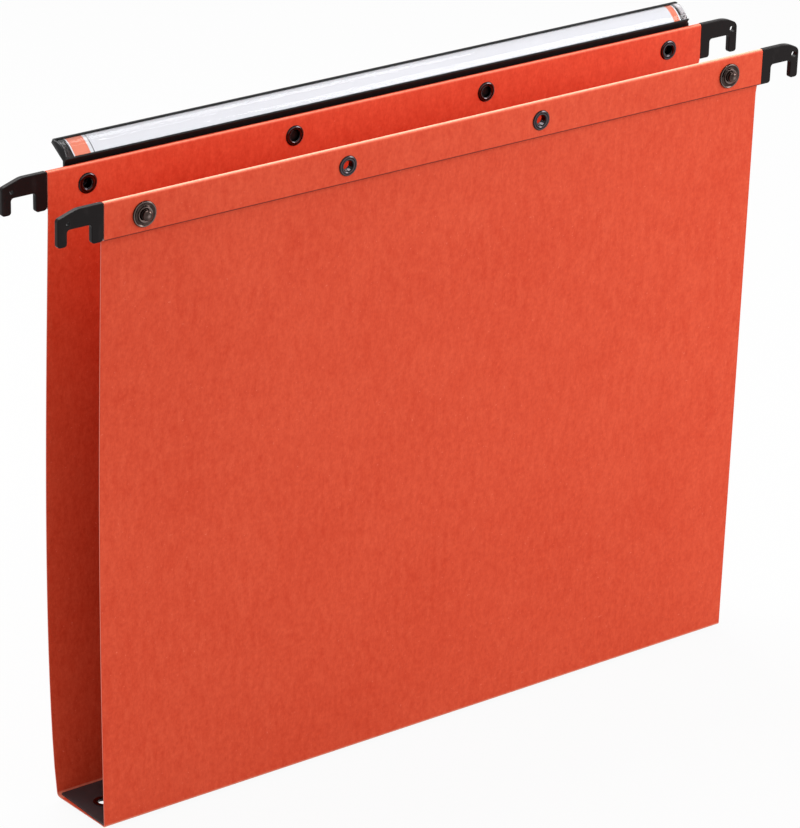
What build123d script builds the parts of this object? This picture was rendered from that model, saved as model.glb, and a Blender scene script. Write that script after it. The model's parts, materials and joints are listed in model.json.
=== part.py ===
from build123d import *
import os
from math import asin, atan2, cos, degrees, radians, sin, tan

# Hanging file folder in millimetres. +X runs along the creases, +Y to the labelled back panel, +Z up.
# The origin is the middle of the base's underside.

# Card wallet
HOOK_SPACING = 330.0  # between the notch centres, as far apart as the drawer's rails
PANEL_HEIGHT = 254.8  # crease to hem top, along the card
BASE_DEPTH = 31.0  # outside, from fold to fold
TOP_GAP = 35.0  # between the panels' inner faces at the hems
CARD = 0.4
CREASE_GAP = 0.1  # slit between a panel's round lower edge and the base
SHOULDER_STEP = 0.3  # how far the hem reaches past each side of its panel
SHOULDER_TAPER = 4.0  # height over which the card widens to the hem

# Hem and the flat rail inside it
HEM_HEIGHT = 14.7
FOLD_RADIUS = 0.8  # at the middle of the card
RAIL_THICKNESS = 1.2
RAIL_EASE = 0.2  # between the rail and the card
TONGUE_LENGTH = 12.0  # rail end inside a hook
TONGUE_COVER = 1.3  # plastic above and below that end
TONGUE_EASE = 0.05

# Moulded hook ends
HOOK_THICKNESS = 2.2
HOOK_INNER_LEG = 5.0
NOTCH_WIDTH = 10.3
HOOK_OUTER_LEG = 4.0
HOOK_WEB = 7.2  # height above the notch
HOOK_GAP = 0.1  # between the hem's end and the hook
HOOK_CHAMFER_DROP = 2.7
HOOK_ROOT_RADIUS = 0.6
HOOK_FOOT_RADIUS = 1.2
HOOK_NOTCH_RADIUS = 1.2
HOOK_EDGE_RADIUS = 0.35
HOOK_HOLE_DROP = 4.9

# The left hooks come from another mould than the right ones
LEFT_CHAMFER_LENGTH = 8.4
LEFT_CREST_RADIUS = 8.0
LEFT_TIP_RADIUS = 1.4
LEFT_HEEL_RADIUS = 1.6
LEFT_LEG_LIFT = 1.2  # how much shorter the outer leg is than the inner one
LEFT_HOLE = 1.7
LEFT_HOLE_INSET = 4.3  # from the hook's outer end
RIGHT_CHAMFER_LENGTH = 6.0
RIGHT_CREST_RADIUS = 14.0
RIGHT_TIP_RADIUS = 3.0
RIGHT_HEEL_RADIUS = 0.6
RIGHT_LEG_LIFT = 0.0
RIGHT_HOLE = 2.9
RIGHT_HOLE_INSET = 2.4

# Eyelets and rivets, set through hem or base
STUD_INSET = 17.0  # from the hem's end
EYELET_SPACING = 91.0  # between the two middle eyelets of a hem
FRONT_EYELET_SHIFT = 2.4  # to the left of the folder's middle
EYELET_BORE = 4.2
EYELET_WALL = 0.3
EYELET_FLANGE = 8.0
EYELET_FLANGE_HEIGHT = 0.6
EYELET_RIM = 7.0  # the side that is rolled over
EYELET_RIM_HEIGHT = 0.45
EYELET_EDGE = 0.15  # flange thickness at its outer edge
EYELET_LIP = 0.25  # straight wall past the seat, up to the rounded mouth
RIVET_BORE = 3.6
BARREL_EASE = 0.05

# Press studs on the front, sockets on the back
STUD_FLANGE = 10.0
STUD_FLANGE_THICKNESS = 0.45
STUD_RIM_WIDTH = 0.8
STUD_RIM_HEIGHT = 0.75
STUD_COLLAR = 6.4
STUD_COLLAR_TOP = 5.8
STUD_COLLAR_HEIGHT = 1.15
COLLAR_ROOF = 0.25  # metal over the end of the rivet's barrel
KNOB = 4.1
KNOB_NECK = 3.4
KNOB_NECK_HEIGHT = 0.45
KNOB_FLARE = 0.4  # height from the neck to the full knob
KNOB_BAND = 0.6  # straight side of the knob
KNOB_DOME = 0.7
SOCKET_CLEARANCE = 0.1  # round a knob
SOCKET_HEIGHT = 2.6
SOCKET_TOP = 6.2
SOCKET_MOUTH = 0.2  # chamfer at the way in
SOCKET_LIP = 0.1  # wall that keeps the spring in
SPRING_WIRE = 0.5
SPRING_EASE = 0.1
SPRING_ARC = 320.0  # degrees of a full ring

# Base
STIFFENER = 0.8
STIFFENER_MARGIN = 0.4  # bare card between the board and each panel
STIFFENER_END = 1.2  # bare card past each end of the board
BASE_EYELET_INSET = 10.7
BASE_RIM_HEIGHT = 0.22  # rolled flat, sunk in the card's underside
RIM_EASE = 0.03  # round and below a sunk rim

# Label holder on the back hem
HOLDER_LENGTH = 296.2
HOLDER_SHIFT = 2.4  # to the right of the folder's middle
HOLDER_TILT = 32.0  # degrees from level
HOLDER_RISE = 0.5  # lower edge above the hem top
HOLDER_EASE = 0.05
HOLDER_PLATE = 0.8
HOLDER_LIP = 0.55
HOLDER_LEDGE = 0.2
HOLDER_NIB = 0.2
HOLDER_NIB_HEIGHT = 0.3
HOLDER_END = 0.8  # wall that closes the channel's left end
HOLDER_CORNER = 1.6  # radius of the right end's corners
WEB = 1.1
WEB_DROP = 2.0
TAB_WIDTH = 22.0
TAB_MARGIN = 3.0  # tab below the peg
PEG_EASE = 0.1
PEG_LENGTH = 2.0
LABEL_LENGTH = 288.0
LABEL_WIDTH = 8.7
LABEL_THICKNESS = 0.25
LABEL_EASE = 0.1
LABEL_SHIFT = 0.4  # to the right of the holder's middle
WINDOW_FLANGE = 0.5
WINDOW_HEIGHT = 2.4
WINDOW_WALL = 0.6
WINDOW_INSET = 0.5  # from the holder's right end
WINDOW_EASE = 0.05

# Places that follow from those sizes. Along a panel, w runs out of the folder and v up the card.
notch_inner = HOOK_SPACING / 2 - NOTCH_WIDTH / 2
notch_outer = HOOK_SPACING / 2 + NOTCH_WIDTH / 2
hook_inner = notch_inner - HOOK_INNER_LEG
hook_outer = notch_outer + HOOK_OUTER_LEG
hem_half = hook_inner - HOOK_GAP
panel_half = hem_half - SHOULDER_STEP
crease_y = BASE_DEPTH / 2 - CARD / 2
panel_lean = degrees(atan2(TOP_GAP / 2 + CARD / 2 - crease_y, PANEL_HEIGHT))
hem_top = PANEL_HEIGHT
hem_foot = hem_top - HEM_HEIGHT
flap_w = CARD + RAIL_THICKNESS + 2 * RAIL_EASE
hem_outer = flap_w + CARD / 2
hem_thickness = flap_w + CARD
rail_w = flap_w / 2
rail_top = hem_top - CARD - 2 * RAIL_EASE
rail_foot = hem_foot + RAIL_EASE
fastener_v = (rail_top + rail_foot) / 2
stud_x = hem_half - STUD_INSET
barrel_radius = EYELET_BORE / 2 + EYELET_WALL
barrel_hole = barrel_radius + BARREL_EASE
rivet_reach = STUD_COLLAR_HEIGHT - COLLAR_ROOF
socket_bore = KNOB / 2 + SOCKET_CLEARANCE
spring_radius = socket_bore + SPRING_EASE
groove_top = SOCKET_HEIGHT - SOCKET_MOUTH - SOCKET_LIP
groove_foot = groove_top - SPRING_WIRE - 2 * SPRING_EASE
spring_seat = (groove_top + groove_foot) / 2
base_eyelet_x = panel_half - BASE_EYELET_INSET
rim_recess = BASE_RIM_HEIGHT + RIM_EASE
holder_w = hem_outer + EYELET_RIM_HEIGHT + HOLDER_EASE
channel_edge = HOLDER_LIP + HOLDER_LEDGE
holder_width = LABEL_WIDTH + 2 * LABEL_EASE + 2 * channel_edge
ledge_top = HOLDER_PLATE + LABEL_THICKNESS + 2 * LABEL_EASE
flange_top = ledge_top + WINDOW_FLANGE
nib_foot = flange_top + WINDOW_EASE
lip_top = nib_foot + HOLDER_NIB_HEIGHT
crown_start = HOLDER_LIP + HOLDER_NIB + 2 * WINDOW_EASE


def panel_plane(outward):
    """Plane of one panel: its x axis is the crease, y runs up the card, z out of the folder."""
    lean = radians(panel_lean)
    return Plane(
        origin=(0, outward * crease_y, CARD / 2),
        x_dir=(-outward, 0, 0),
        z_dir=(0, outward * cos(lean), -sin(lean)),
    )


def section_plane(panel):
    """Plane across a panel, with x out of the folder and y up the card."""
    return Plane(panel.origin, x_dir=panel.z_dir, z_dir=-panel.x_dir)


def inner_seat(panel):
    """Inner face of a panel, facing into the folder."""
    return Plane(panel.offset(-CARD / 2).origin, x_dir=-panel.x_dir, z_dir=-panel.z_dir)


def axis_plane(seat, x, y):
    """Plane through a fastener's axis at a place on its seat, with y along the axis."""
    return Plane(seat.from_local_coords((x, y, 0)), x_dir=seat.x_dir, z_dir=-seat.y_dir)


FRONT = panel_plane(-1)
BACK = panel_plane(1)
SIDES = (("left", -1), ("right", 1))


def along(panel, side, distance):
    """Local x of a place that lies that far to the left or right of the folder's middle."""
    return side * distance * panel.x_dir.X


def save(part, name):
    part.label = name
    export_step(part, f"parts/{name}.step")


def eyelet_places(panel):
    """How far each middle eyelet of a hem lies to the right of the folder's middle."""
    shift = FRONT_EYELET_SHIFT if panel is FRONT else 0
    return [side * EYELET_SPACING / 2 - shift for _, side in SIDES]


def fastener_holes(panel):
    """The four fastener holes of a hem, drawn just inside its panel."""
    places = [-stud_x, *eyelet_places(panel), stud_x]
    with BuildSketch(panel.offset(-CARD)) as holes:
        with Locations(*[(along(panel, 1, x), fastener_v) for x in places]):
            Circle(barrel_hole)
    return holes.sketch


def make_panel(name, panel):
    """Card panel whose top is folded out and down over the rail."""
    fold = min(FOLD_RADIUS, 0.45 * flap_w)
    fold_v = hem_top - CARD / 2
    with BuildPart() as card:
        with BuildSketch(section_plane(panel)):
            with BuildLine():
                FilletPolyline((0, 0), (0, fold_v), (flap_w, fold_v), (flap_w, hem_foot + CARD / 2), radius=fold)
                offset(amount=CARD / 2)
            make_face()
        extrude(amount=hem_half, both=True)
        with BuildSketch(panel.offset(-CARD)):
            for side in (-1, 1):
                with BuildLine():
                    Polyline(
                        (side * panel_half, -CARD),
                        (side * panel_half, hem_foot - SHOULDER_TAPER),
                        (side * hem_half, hem_foot),
                        (side * (hem_half + SHOULDER_STEP), hem_foot),
                        (side * (hem_half + SHOULDER_STEP), -CARD),
                        close=True,
                    )
                make_face()
        extrude(amount=2 * CARD, mode=Mode.SUBTRACT)
        extrude(fastener_holes(panel), amount=hem_thickness + 2 * CARD, mode=Mode.SUBTRACT)
    save(card.part, name)


def make_rail(name, panel):
    """Flat steel rail with a narrower tongue at each end."""
    tongue_foot = hem_top - HOOK_WEB + TONGUE_COVER
    tongue_height = HOOK_WEB - 2 * TONGUE_COVER
    with BuildPart() as rail:
        with BuildSketch(panel.offset(rail_w)):
            with Locations((0, fastener_v)):
                Rectangle(2 * hem_half, rail_top - rail_foot)
            with Locations((0, tongue_foot)):
                Rectangle(2 * (hem_half + TONGUE_LENGTH), tongue_height, align=(Align.CENTER, Align.MIN))
        extrude(amount=RAIL_THICKNESS / 2, both=True)
        extrude(fastener_holes(panel), amount=hem_thickness + 2 * CARD, mode=Mode.SUBTRACT)
    save(rail.part, name)


def make_hook(name, panel, side):
    """Plastic hook, notched to hang on a drawer rail and pocketed for the end of the folder's own rail."""
    spot = along(panel, side, 1)
    left = side < 0
    outer_foot = (LEFT_LEG_LIFT if left else RIGHT_LEG_LIFT) - HEM_HEIGHT
    crest = hook_outer - (LEFT_CHAMFER_LENGTH if left else RIGHT_CHAMFER_LENGTH)
    outline = [
        (hook_inner, 0, HOOK_ROOT_RADIUS),
        (hook_inner, -HEM_HEIGHT, LEFT_HEEL_RADIUS if left else RIGHT_HEEL_RADIUS),
        (notch_inner, -HEM_HEIGHT, HOOK_FOOT_RADIUS),
        (notch_inner, -HOOK_WEB, HOOK_NOTCH_RADIUS),
        (notch_outer, -HOOK_WEB, HOOK_NOTCH_RADIUS),
        (notch_outer, outer_foot, HOOK_FOOT_RADIUS),
        (hook_outer, outer_foot, HOOK_FOOT_RADIUS),
        (hook_outer, -HOOK_CHAMFER_DROP, LEFT_TIP_RADIUS if left else RIGHT_TIP_RADIUS),
        (crest, 0, LEFT_CREST_RADIUS if left else RIGHT_CREST_RADIUS),
    ]
    hole = LEFT_HOLE if left else RIGHT_HOLE
    hole_x = hook_outer - (LEFT_HOLE_INSET if left else RIGHT_HOLE_INSET)
    pocket_length = TONGUE_LENGTH + TONGUE_EASE - HOOK_GAP
    with BuildPart() as hook:
        with BuildSketch(panel.offset(rail_w)):
            with BuildLine():
                FilletPolyline(
                    *[(spot * x, hem_top + drop) for x, drop, _ in outline],
                    radius=[radius for _, _, radius in outline],
                    close=True,
                )
            make_face()
        extrude(amount=HOOK_THICKNESS / 2, both=True)
        flats = hook.faces().filter_by(Axis(panel.origin, panel.z_dir))
        fillet(flats.edges(), HOOK_EDGE_RADIUS)
        with BuildSketch(panel.offset(rail_w)):
            with Locations((spot * hole_x, hem_top - HOOK_HOLE_DROP)):
                Circle(hole / 2)
        extrude(amount=HOOK_THICKNESS, both=True, mode=Mode.SUBTRACT)
        with BuildSketch(panel.offset(rail_w)):
            with Locations((spot * (hook_inner + pocket_length / 2), hem_top - HOOK_WEB / 2)):
                Rectangle(pocket_length, HOOK_WEB - 2 * TONGUE_COVER + 2 * TONGUE_EASE)
        extrude(amount=RAIL_THICKNESS / 2 + TONGUE_EASE, both=True, mode=Mode.SUBTRACT)
    save(hook.part, name)


def make_eyelet(name, seat, x, y, grip, rim_height):
    """Tubular eyelet with a domed flange on its seat, rolled over on the far side of what it grips."""
    bore = EYELET_BORE / 2
    far = -grip
    with BuildPart() as eyelet:
        with BuildSketch(axis_plane(seat, x, y)):
            with BuildLine():
                Polyline((barrel_radius, 0), (EYELET_FLANGE / 2, 0), (EYELET_FLANGE / 2, EYELET_EDGE))
                ThreePointArc(
                    (EYELET_FLANGE / 2, EYELET_EDGE),
                    ((EYELET_FLANGE / 2 + bore) / 2, EYELET_FLANGE_HEIGHT),
                    (bore, EYELET_LIP),
                )
                Line((bore, EYELET_LIP), (bore, far - EYELET_EDGE))
                ThreePointArc(
                    (bore, far - EYELET_EDGE),
                    ((EYELET_RIM / 2 + bore) / 2, far - rim_height),
                    (EYELET_RIM / 2, far - EYELET_EDGE),
                )
                Polyline((EYELET_RIM / 2, far - EYELET_EDGE), (EYELET_RIM / 2, far), (barrel_radius, far))
                Line((barrel_radius, far), (barrel_radius, 0))
            make_face()
        revolve(axis=Axis(seat.from_local_coords((x, y, 0)), seat.z_dir))
    save(eyelet.part, name)


def make_rivet(name, panel, side):
    """Inner half of a press fastener: a domed flange with a tube that reaches into the outer half."""
    seat = inner_seat(panel)
    x = along(seat, side, stud_x)
    bore = RIVET_BORE / 2
    tube_end = -(hem_thickness + rivet_reach - BARREL_EASE)
    with BuildPart() as rivet:
        with BuildSketch(axis_plane(seat, x, fastener_v)):
            with BuildLine():
                Polyline((barrel_radius, 0), (EYELET_FLANGE / 2, 0), (EYELET_FLANGE / 2, EYELET_EDGE))
                ThreePointArc(
                    (EYELET_FLANGE / 2, EYELET_EDGE),
                    ((EYELET_FLANGE / 2 + bore) / 2, EYELET_FLANGE_HEIGHT),
                    (bore, EYELET_LIP),
                )
                Polyline((bore, EYELET_LIP), (bore, tube_end), (barrel_radius, tube_end), (barrel_radius, 0))
            make_face()
        revolve(axis=Axis(seat.from_local_coords((x, fastener_v, 0)), seat.z_dir))
    save(rivet.part, name)


def flange_outline():
    """Outline shared by stud and socket: seat, outer edge, raised rim and the floor up to the collar."""
    edge = STUD_FLANGE / 2
    rim_inner = edge - STUD_RIM_WIDTH
    Polyline((barrel_hole, rivet_reach), (barrel_hole, 0), (edge, 0), (edge, STUD_FLANGE_THICKNESS))
    ThreePointArc(
        (edge, STUD_FLANGE_THICKNESS),
        ((edge + rim_inner) / 2, STUD_RIM_HEIGHT),
        (rim_inner, STUD_FLANGE_THICKNESS),
    )
    Line((rim_inner, STUD_FLANGE_THICKNESS), (STUD_COLLAR / 2, STUD_FLANGE_THICKNESS))


def make_stud(name, panel, side):
    """Male half of a press fastener: ringed flange, hollow collar and a necked knob."""
    seat = panel.offset(hem_outer)
    x = along(seat, side, stud_x)
    neck_top = STUD_COLLAR_HEIGHT + KNOB_NECK_HEIGHT
    band_foot = neck_top + KNOB_FLARE
    band_top = band_foot + KNOB_BAND
    knob_top = band_top + KNOB_DOME
    dome_radius = ((KNOB / 2) ** 2 + KNOB_DOME**2) / (2 * KNOB_DOME)
    dome_spread = degrees(asin(KNOB / 2 / dome_radius))
    with BuildPart() as stud:
        with BuildSketch(axis_plane(seat, x, fastener_v)):
            with BuildLine():
                flange_outline()
                Polyline(
                    (STUD_COLLAR / 2, STUD_FLANGE_THICKNESS),
                    (STUD_COLLAR_TOP / 2, STUD_COLLAR_HEIGHT),
                    (KNOB_NECK / 2, STUD_COLLAR_HEIGHT),
                    (KNOB_NECK / 2, neck_top),
                    (KNOB / 2, band_foot),
                    (KNOB / 2, band_top),
                )
                CenterArc((0, knob_top - dome_radius), dome_radius, 90 - dome_spread, dome_spread)
                Polyline((0, knob_top), (0, rivet_reach), (barrel_hole, rivet_reach))
            make_face()
        revolve(axis=Axis(seat.from_local_coords((x, fastener_v, 0)), seat.z_dir))
    save(stud.part, name)


def make_socket(name, panel, side):
    """Female half of a press fastener: ringed flange and a cup grooved for its ring spring."""
    seat = panel.offset(hem_outer)
    x = along(seat, side, stud_x)
    groove_radius = spring_radius + SPRING_WIRE / 2 + SPRING_EASE
    with BuildPart() as socket:
        with BuildSketch(axis_plane(seat, x, fastener_v)):
            with BuildLine():
                flange_outline()
                Polyline(
                    (STUD_COLLAR / 2, STUD_FLANGE_THICKNESS),
                    (SOCKET_TOP / 2, STUD_RIM_HEIGHT),
                    (SOCKET_TOP / 2, SOCKET_HEIGHT - SOCKET_MOUTH),
                    (SOCKET_TOP / 2 - SOCKET_MOUTH, SOCKET_HEIGHT),
                    (socket_bore + SOCKET_MOUTH, SOCKET_HEIGHT),
                    (socket_bore, SOCKET_HEIGHT - SOCKET_MOUTH),
                    (socket_bore, groove_top),
                    (groove_radius, groove_top),
                    (groove_radius, groove_foot),
                    (socket_bore, groove_foot),
                    (socket_bore, rivet_reach),
                    (barrel_hole, rivet_reach),
                )
            make_face()
        revolve(axis=Axis(seat.from_local_coords((x, fastener_v, 0)), seat.z_dir))
    save(socket.part, name)


def make_spring(name, panel, side):
    """Open ring of wire that grips a knob inside the socket."""
    seat = panel.offset(hem_outer)
    x = along(seat, side, stud_x)
    with BuildPart() as spring:
        with BuildSketch(axis_plane(seat, x, fastener_v)):
            with Locations((spring_radius, spring_seat)):
                Circle(SPRING_WIRE / 2)
        revolve(
            axis=Axis(seat.from_local_coords((x, fastener_v, 0)), seat.z_dir), revolution_arc=SPRING_ARC
        )
    save(spring.part, name)


def holder_plane(shift):
    """Plane across the label holder: x runs up its slope from the lower edge, y out of its face."""
    section = section_plane(BACK).offset(shift)
    tilt = radians(HOLDER_TILT)
    corner = section.from_local_coords((holder_w, hem_top + HOLDER_RISE, 0))
    return Plane(corner, x_dir=section.x_dir * cos(tilt) + section.y_dir * sin(tilt), z_dir=section.z_dir)


def window_crown():
    """Rounded outer face of the window, from its lower to its upper edge."""
    ThreePointArc(
        (holder_width - crown_start, flange_top),
        (holder_width / 2, ledge_top + WINDOW_HEIGHT),
        (crown_start, flange_top),
    )


def make_label_holder():
    """Sloping channel with two lips and a closed left end, on a web whose tabs peg into the back eyelets."""
    middle = holder_width / 2
    pegs = [along(BACK, 1, x) for x in eyelet_places(BACK)]
    tab_top = hem_top - WEB_DROP
    tab_foot = fastener_v - EYELET_BORE / 2 - TAB_MARGIN
    right_end = holder_plane(HOLDER_SHIFT + HOLDER_LENGTH / 2)
    with BuildPart() as holder:
        with BuildSketch(holder_plane(HOLDER_SHIFT)):
            with BuildLine():
                Polyline(
                    (middle, 0),
                    (0, 0),
                    (0, lip_top),
                    (HOLDER_LIP + HOLDER_NIB, lip_top),
                    (HOLDER_LIP + HOLDER_NIB, nib_foot),
                    (HOLDER_LIP, nib_foot),
                    (HOLDER_LIP, ledge_top),
                    (channel_edge, ledge_top),
                    (channel_edge, HOLDER_PLATE),
                    (middle, HOLDER_PLATE),
                    close=True,
                )
            make_face()
            mirror(about=Plane(origin=(middle, 0, 0), z_dir=(1, 0, 0)))
        extrude(amount=HOLDER_LENGTH / 2, both=True)
        with BuildSketch(Plane(right_end.origin, x_dir=right_end.x_dir, z_dir=right_end.y_dir)):
            Rectangle(holder_width, HOLDER_CORNER, align=Align.MIN)
            with Locations((middle, 0)):
                Rectangle(
                    holder_width - 2 * HOLDER_CORNER,
                    HOLDER_CORNER,
                    align=(Align.CENTER, Align.MIN),
                    mode=Mode.SUBTRACT,
                )
            with Locations((HOLDER_CORNER, HOLDER_CORNER), (holder_width - HOLDER_CORNER, HOLDER_CORNER)):
                Circle(HOLDER_CORNER, mode=Mode.SUBTRACT)
        extrude(amount=lip_top, mode=Mode.SUBTRACT)
        with BuildSketch(holder_plane(HOLDER_SHIFT - HOLDER_LENGTH / 2)):
            Rectangle(holder_width, lip_top, align=Align.MIN)
            with BuildLine():
                window_crown()
                Line((holder_width - crown_start, flange_top), (crown_start, flange_top))
            make_face()
        extrude(amount=HOLDER_END)
        with BuildSketch(section_plane(BACK).offset(HOLDER_SHIFT)):
            with BuildLine():
                Polyline(
                    (holder_w, hem_top - WEB_DROP),
                    (holder_w + WEB, hem_top - WEB_DROP),
                    (holder_w + WEB, hem_top + HOLDER_RISE + WEB * tan(radians(HOLDER_TILT))),
                    (holder_w, hem_top + HOLDER_RISE),
                    close=True,
                )
            make_face()
        extrude(amount=HOLDER_LENGTH / 2, both=True)
        with BuildSketch(BACK.offset(holder_w)):
            with Locations(*[(x, tab_top) for x in pegs]):
                Rectangle(TAB_WIDTH, tab_top - tab_foot, align=(Align.CENTER, Align.MAX))
        extrude(amount=WEB)
        with BuildSketch(BACK.offset(holder_w)):
            with Locations(*[(x, fastener_v) for x in pegs]):
                Circle(EYELET_BORE / 2 - PEG_EASE)
        extrude(amount=-PEG_LENGTH)
    save(holder.part, "label_holder")


def make_label_window():
    """Clear arched cover whose feet snap under the lips, over the label."""
    foot_start = HOLDER_LIP + WINDOW_EASE
    inner_start = crown_start + WINDOW_WALL
    length = HOLDER_LENGTH - HOLDER_END - WINDOW_INSET
    with BuildPart() as window:
        with BuildSketch(holder_plane(HOLDER_SHIFT + (HOLDER_END - WINDOW_INSET) / 2)):
            with BuildLine():
                window_crown()
                Polyline(
                    (crown_start, flange_top),
                    (foot_start, flange_top),
                    (foot_start, ledge_top),
                    (inner_start, ledge_top),
                )
                ThreePointArc(
                    (inner_start, ledge_top),
                    (holder_width / 2, ledge_top + WINDOW_HEIGHT - WINDOW_WALL),
                    (holder_width - inner_start, ledge_top),
                )
                Polyline(
                    (holder_width - inner_start, ledge_top),
                    (holder_width - foot_start, ledge_top),
                    (holder_width - foot_start, flange_top),
                    (holder_width - crown_start, flange_top),
                )
            make_face()
        extrude(amount=length / 2, both=True)
    save(window.part, "label_window")


def make_label_strip():
    """Paper label in the channel under the window."""
    with BuildPart() as label:
        with BuildSketch(holder_plane(HOLDER_SHIFT + LABEL_SHIFT)):
            with Locations((holder_width / 2, HOLDER_PLATE + LABEL_EASE)):
                Rectangle(LABEL_WIDTH, LABEL_THICKNESS, align=(Align.CENTER, Align.MIN))
        extrude(amount=LABEL_LENGTH / 2, both=True)
    save(label.part, "label_strip")


def make_base_card():
    """Strip of card between the two creases, recessed below for the rolled rims of its eyelets."""
    depth = BASE_DEPTH - 2 * (CARD + CREASE_GAP)
    with BuildPart() as card:
        with BuildSketch():
            Rectangle(2 * panel_half, depth)
        extrude(amount=CARD)
        with BuildSketch():
            with Locations((-base_eyelet_x, 0), (base_eyelet_x, 0)):
                Circle(barrel_hole)
        extrude(amount=CARD, mode=Mode.SUBTRACT)
        with BuildSketch():
            with Locations((-base_eyelet_x, 0), (base_eyelet_x, 0)):
                Circle(EYELET_RIM / 2 + RIM_EASE)
        extrude(amount=rim_recess, mode=Mode.SUBTRACT)
    save(card.part, "base_card")


def make_base_stiffener():
    """Black board that keeps the base flat."""
    with BuildPart() as board:
        with BuildSketch(Plane.XY.offset(CARD)):
            Rectangle(2 * (panel_half - STIFFENER_END), BASE_DEPTH - 2 * (CARD + STIFFENER_MARGIN))
            with Locations((-base_eyelet_x, 0), (base_eyelet_x, 0)):
                Circle(barrel_hole, mode=Mode.SUBTRACT)
        extrude(amount=STIFFENER)
    save(board.part, "base_stiffener")


os.makedirs("parts", exist_ok=True)

for end, panel in (("front", FRONT), ("back", BACK)):
    make_panel(f"{end}_panel", panel)
    make_rail(f"{end}_rail", panel)
    for side_name, side in SIDES:
        make_hook(f"{end}_hook_{side_name}", panel, side)
        make_rivet(f"{end}_rivet_{side_name}", panel, side)

hem_face = FRONT.offset(hem_outer)
back_face = inner_seat(BACK)
base_face = Plane.XY.offset(CARD + STIFFENER)
base_grip = CARD + STIFFENER - rim_recess
for (side_name, side), front_x, back_x in zip(SIDES, eyelet_places(FRONT), eyelet_places(BACK)):
    make_stud(f"front_stud_{side_name}", FRONT, side)
    make_socket(f"back_socket_{side_name}", BACK, side)
    make_spring(f"back_spring_{side_name}", BACK, side)
    for end, seat, x in (("front", hem_face, front_x), ("back", back_face, back_x)):
        spot = along(seat, 1, x)
        make_eyelet(f"{end}_eyelet_{side_name}", seat, spot, fastener_v, hem_thickness, EYELET_RIM_HEIGHT)
    make_eyelet(f"base_eyelet_{side_name}", base_face, side * base_eyelet_x, 0, base_grip, BASE_RIM_HEIGHT)

make_label_holder()
make_label_window()
make_label_strip()
make_base_card()
make_base_stiffener()
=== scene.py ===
import json
from math import asin, atan2, copysign, cos, pi, radians, sin, tau

import bmesh
import bpy
from mathutils import Matrix, Vector, noise


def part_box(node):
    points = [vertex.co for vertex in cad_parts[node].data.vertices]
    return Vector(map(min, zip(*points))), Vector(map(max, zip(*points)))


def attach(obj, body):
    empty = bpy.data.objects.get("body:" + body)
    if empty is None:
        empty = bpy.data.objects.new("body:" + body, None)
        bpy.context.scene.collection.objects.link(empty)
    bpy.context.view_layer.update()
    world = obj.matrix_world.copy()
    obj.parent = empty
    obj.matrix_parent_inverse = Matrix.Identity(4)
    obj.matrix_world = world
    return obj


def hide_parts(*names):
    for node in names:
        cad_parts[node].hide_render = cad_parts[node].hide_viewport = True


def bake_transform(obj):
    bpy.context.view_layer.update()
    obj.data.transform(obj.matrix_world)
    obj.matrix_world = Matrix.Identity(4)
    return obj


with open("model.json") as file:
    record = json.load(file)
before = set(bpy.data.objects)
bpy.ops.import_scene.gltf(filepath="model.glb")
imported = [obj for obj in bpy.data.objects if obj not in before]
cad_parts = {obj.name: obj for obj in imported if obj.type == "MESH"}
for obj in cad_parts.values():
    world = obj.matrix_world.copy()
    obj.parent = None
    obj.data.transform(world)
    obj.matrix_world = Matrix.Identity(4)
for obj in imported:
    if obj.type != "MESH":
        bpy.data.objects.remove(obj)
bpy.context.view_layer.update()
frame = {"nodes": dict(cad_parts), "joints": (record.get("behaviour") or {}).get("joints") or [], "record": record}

# A hanging file folder of orange card, dressed around its solids. Lengths are in metres.
MM = 0.001
ENDS = ("front", "back")
SIDES = ("left", "right")

# Card wallet
CARD = 0.4 * MM
PANEL_HEIGHT = 254.8 * MM
HEM_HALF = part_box("front_panel")[1].x
HEM_HEIGHT = 14.7 * MM
HEM_DEPTH = 2.0 * MM  # between the middles of the card's two layers
HEM_FOLD = 0.85 * MM
SHOULDER_TAPER = 4.0 * MM
CREASE_RUN = 3.0 * MM  # base card that belongs to a panel's sheet
CREASE = {"front": 0.3 * MM, "back": 0.9 * MM}
CREASE_STEPS = 8
FOLD_STEPS = 6
CREASE_HIGHLIGHT = {"front": 0.4 * MM, "back": 1.1 * MM}  # how far up from a crease the card is painted paler, as the highlight its rounded fold catches
CREASE_HIGHLIGHT_STRENGTH = 0.45
CREASE_HIGHLIGHT_FADE = 0.4 * MM
FOLD_WEAR_AND_HIGHLIGHT = {"front": 2.6 * MM, "back": 0.7 * MM}  # how far back over a hem's fold the card is rubbed and painted paler as highlight, kept narrow at the back where the holder shades the fold
FLAP_SHADE = 0.5 * MM  # painted shade: a dark line along a flap's foot, standing for the shade under the flap
FLAP_SHADE_DARKNESS = 0.9
CARD_WAVE = 0.22 * MM
WAVES_ACROSS = 9  # to the metre
WAVES_UP = 7
WAVE_SEED = {"front": 1.7, "back": 5.3}
CARD_ROWS = 20
CARD_COLUMN = 7.0 * MM
HOLE = 2.45 * MM
HOLE_PAD = 3.2 * MM  # half the square of card that each hole is cut in
HOLE_SIDES = 32
RIM_SEAT = 3.53 * MM  # hole that an eyelet's rolled rim is sunk in
RIM_PAD = 1.3 * RIM_SEAT

# How far each panel's card stops short of its hem's ends, at the shoulder and at the crease
PANEL_STEP = {
    "front": {"left": (0.0, 1.4 * MM), "right": (0.5 * MM, 1.0 * MM)},
    "back": {"left": (0.05 * MM, 0.1 * MM), "right": (1.0 * MM, 1.0 * MM)},
}

# Each panel is a little bowed: how far out at its left end, how low the bow lies,
# and its share at the right end
BOW = {"front": (-2.1 * MM, 1.0, 0.0), "back": (5.2 * MM, 0.68, 0.4)}
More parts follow.
